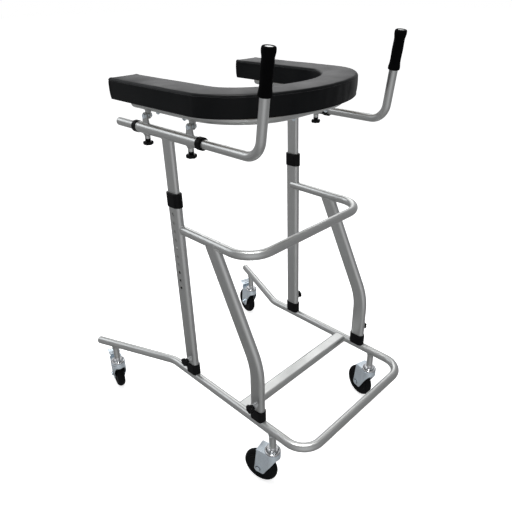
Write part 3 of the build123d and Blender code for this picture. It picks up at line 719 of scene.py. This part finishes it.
def make_forks():
    for name in CASTERS:
        swivel, roll = JOINTS[f"{name}_swivel"], JOINTS[f"{name}_roll"]
        across = Vector(roll["axis"])
        foot = Vector((swivel["pos_m"][0], swivel["pos_m"][1], 0))
        place = frame_at(foot, across, UP.cross(across), UP)
        zinc = LOOKS["zinc_plated_steel"]
        body = f"{name}_caster"
        sheet = piece(f"{name}_fork_legs", placed(fork_sheet(), place), zinc, body)
        thick = sheet.modifiers.new("thickness", "SOLIDIFY")
        thick.thickness = FORK_SHEET * MM
        thick.offset = 0
        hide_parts(f"{name}_fork")
        outline = [(x * CROWN_GROWN, y * CROWN_GROWN) for x, y in fork_line()]
        crown = slab(outline, CROWN_LOW, CROWN_TOP, 1.2)
        race = lathe([(r * MM, h * MM) for r, h in RACE_PROFILE], 64)
        piece(f"{name}_fork_crown", placed(crown, place), zinc, body, smooth=False)
        piece(f"{name}_ball_race", placed(race, place), CHROME, body)
        for sign in (-1, 1):
            start = place @ Vector((sign * FORK_HALF * MM, TRAIL * MM, WHEEL_RADIUS * MM))
            washer = lathe([(r * MM, h * MM) for r, h in WASHER_PROFILE], 40)
            disc = placed(washer, axis_frame(start, across * sign))
            side = "right" if sign < 0 else "left"
            piece(f"{name}_axle_washer_{side}", disc, DARK_STEEL, body)


# Knobs ----------------------------------------------------------------------------------------

KNOB_HIGH = 15.0  # mm from the seat to the top
KNOB_RADIUS = 13.5
LOBES = 6
NOTCH = 2.9  # mm, how deep the gaps between the lobes are
# (share of the radius, height in mm) up the outside of the lobed head and into its recess
KNOB_RINGS = (
    (0.0, 5.6), (0.52, 5.6), (0.86, 5.9), (0.96, 6.6), (1.0, 8.2), (1.0, 11.6), (0.965, 13.4), (0.88, 14.6),
    (0.74, 15.0), (0.60, 14.9), (0.54, 14.5), (0.50, 13.9), (0.3, 13.8), (0.0, 13.8),
)
KNOB_NECK = ((7.4, 0.0), (7.5, 0.5), (7.2, 2.0), (6.2, 4.4), (6.0, 6.4))
LOBE_STEPS = 96
STUD_ROOT, STUD_CREST, STUD_PITCH = 3.55, 3.95, 1.25


def knob_head():
    rings = []
    for share, height in KNOB_RINGS:
        ring = []
        for k in range(LOBE_STEPS):
            a = math.tau * k / LOBE_STEPS
            notch = (0.5 + 0.5 * math.cos(LOBES * a)) ** 2.2
            radius = KNOB_RADIUS - NOTCH * notch * min(1, max(0, (share - 0.45) / 0.5))
            reach = max(share, 0.002) * radius * MM
            ring.append(Vector((reach * math.cos(a), reach * math.sin(a), height * MM)))
        rings.append(ring)
    neck = lathe([(r * MM, h * MM) for r, h in KNOB_NECK], 40)
    return joined(skinned(rings), neck)


def stud(length):
    """A threaded rod below the seat, its ridges turned rather than cut as a helix."""
    profile = [(0, -length)]
    height = -length
    while height < 2:
        profile += [(STUD_ROOT, height), (STUD_CREST, height + STUD_PITCH / 2)]
        height += STUD_PITCH
    profile.append((0, height))
    return lathe([(r * MM, h * MM) for r, h in profile], 24)


def make_knobs():
    for node in NODES:
        if not node.endswith("_knob"):
            continue
        turn = JOINTS[f"{node}_turn"]
        axis = Vector(turn["axis"])
        low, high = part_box(node)
        far = max(low.dot(axis), high.dot(axis))
        near = min(low.dot(axis), high.dot(axis))
        on_axis = Vector(turn["pos_m"])
        seat = on_axis + axis * (far - KNOB_HIGH * MM - on_axis.dot(axis))
        place = axis_frame(seat, axis)
        head = piece(f"{node}_head", placed(knob_head(), place), LOOKS["knob_plastic"], node)
        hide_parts(node)
        length = (far - near) / MM - KNOB_HIGH
        screw = placed(stud(length), place)
        piece(f"{node}_stud", screw, LOOKS["zinc_plated_steel"], node)


# Welds ----------------------------------------------------------------------------------------

STANDOFF = 0.4 * MM  # a bead runs this far outside the section it follows
LUG_THICK = 5.4 * MM
LOWER_LUG_WIDE, UPPER_LUG_WIDE = 24 * MM, 22.5 * MM
UPPER_LUG_SHIFT = 10 * MM
SLEEVE_BOSS_RADIUS, FOOT_BOSS_RADIUS = 10.6 * MM, 8.3 * MM
BEAD_SIDES = 8
BEAD_FLATNESS = 0.62
SLOT_STEPS = 14


def slot_section(origin, wide_axis, thin_axis, wide, thick):
    """Points round a flat-oval section, grown a little."""
    half, round_end = (wide - thick) / 2, thick / 2 + STANDOFF
    points = []
    for end in (1, -1):
        for i in range(SLOT_STEPS + 1):
            a = math.pi * (i / SLOT_STEPS - 0.5)
            along = end * (half + round_end * math.cos(a))
            points.append(origin + wide_axis * along + thin_axis * end * round_end * math.sin(a))
    return resampled(points, 1.6 * MM)


def box_section(origin, wide_axis, thin_axis, wide, thick):
    points = []
    for a, b in ((-1, -1), (1, -1), (1, 1), (-1, 1)):
        points.append(origin + wide_axis * a * wide / 2 + thin_axis * b * thick / 2)
    return resampled(points, 1.2 * MM)


def ring_section(origin, first, second, radius, steps=56):
    points = []
    for k in range(steps):
        a = math.tau * k / steps
        points.append(origin + (first * math.cos(a) + second * math.sin(a)) * radius)
    return points


def resampled(loop, step):
    """A closed loop of points at even distances."""
    points = []
    for i, start in enumerate(loop):
        run = loop[(i + 1) % len(loop)] - start
        count = max(1, round(run.length / step))
        points += [start + run * (k / count) for k in range(count)]
    return points


def surface(node):
    mesh = NODES[node].data
    points = [NODES[node].matrix_world @ v.co for v in mesh.vertices]
    return BVHTree.FromPolygons(points, [tuple(face.vertices) for face in mesh.polygons])


def weld(name, loop, direction, targets, body, size=1.7):
    """A rippled bead where a section, moved along a direction, meets other nodes."""
    trees = [surface(node) for node in targets]
    path = []
    for place in loop:
        hits = [tree.ray_cast(place, direction, 0.12) for tree in trees]
        near = [hit for hit in hits if hit[0] is not None]
        if near:
            best = min(near, key=lambda hit: hit[3])
            path.append((best[0], best[1]))
    rings = []
    for i, (place, normal) in enumerate(path):
        along = (path[(i + 1) % len(path)][0] - path[i - 1][0]).normalized()
        out = (normal - along * normal.dot(along)).normalized()
        side = along.cross(out)
        ripple = size * MM * (1 + 0.10 * math.sin(i * 1.9) + 0.10 * noise.noise(place * 400))
        rings.append([
            place + (out * math.sin(a) * BEAD_FLATNESS + side * math.cos(a)) * ripple
            for a in (math.tau * k / BEAD_SIDES for k in range(BEAD_SIDES))
        ])
    piece(name, skinned(rings, closed=True), WELD, body)


def make_welds():
    x_axis, y_axis = Vector((1, 0, 0)), Vector((0, 1, 0))
    bar = middle("base_crossbar")
    for side, sign in SIDES.items():
        out = x_axis * sign
        start = bar + out * 200 * MM
        loop = slot_section(start, y_axis, UP, OVAL_WIDE, OVAL_THICK)
        weld(f"{side}_crossbar_weld", loop, out, ["base_tube"], "base_frame")

        low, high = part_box("mid_rail")
        rail_x = (low.x if sign < 0 else high.x) - sign * TUBE_RADIUS
        start = Vector((rail_x, high.y - 45 * MM, (low.z + high.z) / 2))
        loop = ring_section(start, x_axis, UP, TUBE_RADIUS + STANDOFF)
        weld(f"{side}_rail_weld", loop, y_axis, [f"{side}_upright"], "base_frame")

        low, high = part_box(f"{side}_front_leg")
        climb = Vector((0, math.sin(LEG_ANGLE), math.cos(LEG_ANGLE)))
        across = Vector((0, math.cos(LEG_ANGLE), -math.sin(LEG_ANGLE)))
        rail_height = middle("mid_rail").z
        top = Vector(((low.x + high.x) / 2, high.y, high.z))
        top -= across * OVAL_WIDE / 2 + climb * 60 * MM
        loop = slot_section(top, across, x_axis, OVAL_WIDE, OVAL_THICK)
        if top.z < rail_height:
            weld(f"{side}_leg_weld", loop, climb, ["mid_rail"], "base_frame")

        sleeve = middle(f"{side}_sleeve")
        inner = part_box(f"{side}_inner_tube")
        up = Vector((0, math.sin(LEAN), math.cos(LEAN)))
        start = Vector((sleeve.x, inner[1].y - INNER_WIDE / 2, sleeve.z - 40 * MM))
        start.y -= 40 * MM * math.tan(LEAN)
        loop = slot_section(start, y_axis, x_axis, INNER_WIDE, INNER_THICK)
        weld(f"{side}_sleeve_weld", loop, up, [f"{side}_sleeve"], "upper_frame")
        for end in ("front", "rear"):
            knob = middle(f"{side}_{end}_sleeve_knob")
            start = Vector((sleeve.x, knob.y, sleeve.z + 20 * MM))
            loop = box_section(start, y_axis, x_axis, LOWER_LUG_WIDE, LUG_THICK)
            weld(f"{side}_{end}_lug_weld", loop, -UP, [f"{side}_sleeve"], "upper_frame", 1.3)
            start = Vector((sleeve.x - sign * UPPER_LUG_SHIFT, knob.y, middle("pad_frame").z - 18 * MM))
            loop = box_section(start, y_axis, x_axis, UPPER_LUG_WIDE, LUG_THICK)
            weld(f"{side}_{end}_pad_lug_weld", loop, UP, ["pad_frame"], "upper_frame", 1.2)
            start = Vector((sleeve.x, knob.y, sleeve.z - 35 * MM))
            loop = ring_section(start, x_axis, y_axis, SLEEVE_BOSS_RADIUS)
            weld(f"{side}_{end}_boss_weld", loop, UP, [f"{side}_sleeve"], "upper_frame", 1.1)
        for kind in ("upright", "leg"):
            turn = JOINTS[f"{side}_{kind}_knob_turn"]
            tube = f"{side}_upright" if kind == "upright" else f"{side}_front_leg"
            loop = ring_section(Vector(turn["pos_m"]) + out * 20 * MM, y_axis, UP, FOOT_BOSS_RADIUS, 40)
            weld(f"{side}_{kind}_boss_weld", loop, -out, [tube], "base_frame", 1.0)


# Scene ----------------------------------------------------------------------------------------

def make_camera():
    """The viewpoint: in front of the frame, on the user's right, above the pad."""
    place = Vector((-0.9606, -0.9842, 1.2673))
    azimuth, below, roll = 44.761, 27.917, -1.129
    lens = bpy.data.cameras.new("camera")
    lens.lens = 35.636
    lens.sensor_width = 36.0
    lens.clip_start = 0.05
    camera = bpy.data.objects.new("camera", lens)
    bpy.context.scene.collection.objects.link(camera)
    turn = Matrix.Rotation(math.radians(-azimuth), 4, "Z")
    tip = Matrix.Rotation(math.radians(90 - below), 4, "X")
    spin = Matrix.Rotation(math.radians(roll), 4, "Z")
    camera.matrix_world = Matrix.Translation(place) @ turn @ tip @ spin
    bpy.context.scene.camera = camera


def area_light(name, place, aim, size, power, tone=(1, 1, 1)):
    lamp = bpy.data.lights.new(name, "AREA")
    lamp.shape = "RECTANGLE"
    lamp.size, lamp.size_y = size
    lamp.energy = power
    lamp.color = tone
    made = bpy.data.objects.new(name, lamp)
    bpy.context.scene.collection.objects.link(made)
    made.location = place
    made.rotation_mode = "QUATERNION"
    made.rotation_quaternion = (Vector(aim) - Vector(place)).to_track_quat("-Z", "Y")
    return made


def make_floor():
    """A pale floor, large enough to reach the horizon."""
    reach = 30.0
    corners = [(-reach, -reach, 0), (reach, -reach, 0), (reach, reach, 0), (-reach, reach, 0)]
    mesh = bpy.data.meshes.new("floor")
    mesh.from_pydata(corners, [], [(0, 1, 2, 3)])
    values = {"Specular IOR Level": 0.1, "Roughness": 0.9}
    values |= {"Emission Color": (1, 1, 1, 1), "Emission Strength": 0.72}
    look, tree, shader, where = new_material("pale_floor", values)
    shade = cloud(tree, where, 1.2, 2)
    tree.links.new(ramp(tree, shade, (0.93, 0.93, 0.93), (0.95, 0.95, 0.95)), shader.inputs["Base Color"])
    mesh.materials.append(look)
    floor = bpy.data.objects.new("floor", mesh)
    floor.visible_glossy = False
    bpy.context.scene.collection.objects.link(floor)


def make_sky():
    """White to the camera; for light and reflections a grey that varies with height and round the horizon."""
    world = bpy.data.worlds.new("studio")
    bpy.context.scene.world = world
    world.use_nodes = True
    tree = world.node_tree
    tree.nodes.clear()
    where = add(tree, "ShaderNodeTexCoord")
    split = add(tree, "ShaderNodeSeparateXYZ")
    tree.links.new(where.outputs["Generated"], split.inputs["Vector"])
    shade = add(tree, "ShaderNodeValToRGB")
    stops = shade.color_ramp
    stops.elements[0].position, stops.elements[0].color = 0.0, (0.15, 0.15, 0.15, 1)
    stops.elements[1].position, stops.elements[1].color = 1.0, (0.30, 0.30, 0.30, 1)
    for position, level in ((0.18, 0.28), (0.28, 0.42), (0.45, 0.50), (0.6, 0.54), (0.72, 0.5), (0.85, 0.36)):
        stop = stops.elements.new(position)
        stop.color = (level, level, level * 1.02, 1)
    half = add(tree, "ShaderNodeMapRange", {"From Min": -1.0, "From Max": 1.0})
    tree.links.new(split.outputs["Z"], half.inputs["Value"])
    tree.links.new(half.outputs["Result"], shade.inputs["Fac"])
    to_key = add(tree, "ShaderNodeVectorMath", operation="DOT_PRODUCT")
    to_key.inputs[1].default_value = (-0.71, 0.70, 0.0)
    tree.links.new(where.outputs["Generated"], to_key.inputs[0])
    turned = add(tree, "ShaderNodeMapRange", {"From Min": -1.0, "From Max": 1.0})
    tree.links.new(to_key.outputs["Value"], turned.inputs["Value"])
    side = add(tree, "ShaderNodeValToRGB")
    bands = side.color_ramp
    bands.elements[0].position, bands.elements[0].color = 0.0, (0.45, 0.45, 0.48, 1)
    bands.elements[1].position, bands.elements[1].color = 1.0, (0.55, 0.56, 0.58, 1)
    for position, level in ((0.2, 0.8), (0.36, 1.3), (0.55, 1.25), (0.75, 0.8), (0.88, 0.55)):
        band = bands.elements.new(position)
        band.color = (level, level, level, 1)
    tree.links.new(turned.outputs["Result"], side.inputs["Fac"])
    around = add(tree, "ShaderNodeBackground")
    tree.links.new(shade.outputs["Color"], around.inputs["Color"])
    tree.links.new(side.outputs["Color"], around.inputs["Strength"])
    seen = add(tree, "ShaderNodeBackground", {"Color": (1.0, 1.0, 1.0, 1), "Strength": 1.0})
    ray = add(tree, "ShaderNodeLightPath")
    mixed = add(tree, "ShaderNodeMixShader")
    tree.links.new(ray.outputs["Is Camera Ray"], mixed.inputs[0])
    tree.links.new(around.outputs[0], mixed.inputs[1])
    tree.links.new(seen.outputs[0], mixed.inputs[2])
    out = add(tree, "ShaderNodeOutputWorld")
    tree.links.new(mixed.outputs[0], out.inputs["Surface"])


def make_lights():
    """A large soft key, a lamp overhead, and a sheen that is only reflected, on the pad's top."""
    area_light("key", (-1.35, 2.2, 2.6), (0, 0, 0.5), (2.2, 1.6), 16, (0.95, 0.97, 1.0))
    area_light("overhead", (-0.1, -0.1, 3.5), (0, 0, 0.6), (1.3, 1.3), 70)
    sheen = area_light("sheen", (2.0, 2.1, 2.6), (0, 0, 1.0), (2.2, 1.6), 16)
    sheen.visible_diffuse = False


bpy.context.scene.view_settings.view_transform = "Standard"
dress_frame()
make_pad()
make_grips()
make_wheels()
make_forks()
make_knobs()
make_welds()
make_camera()
make_floor()
make_sky()
make_lights()
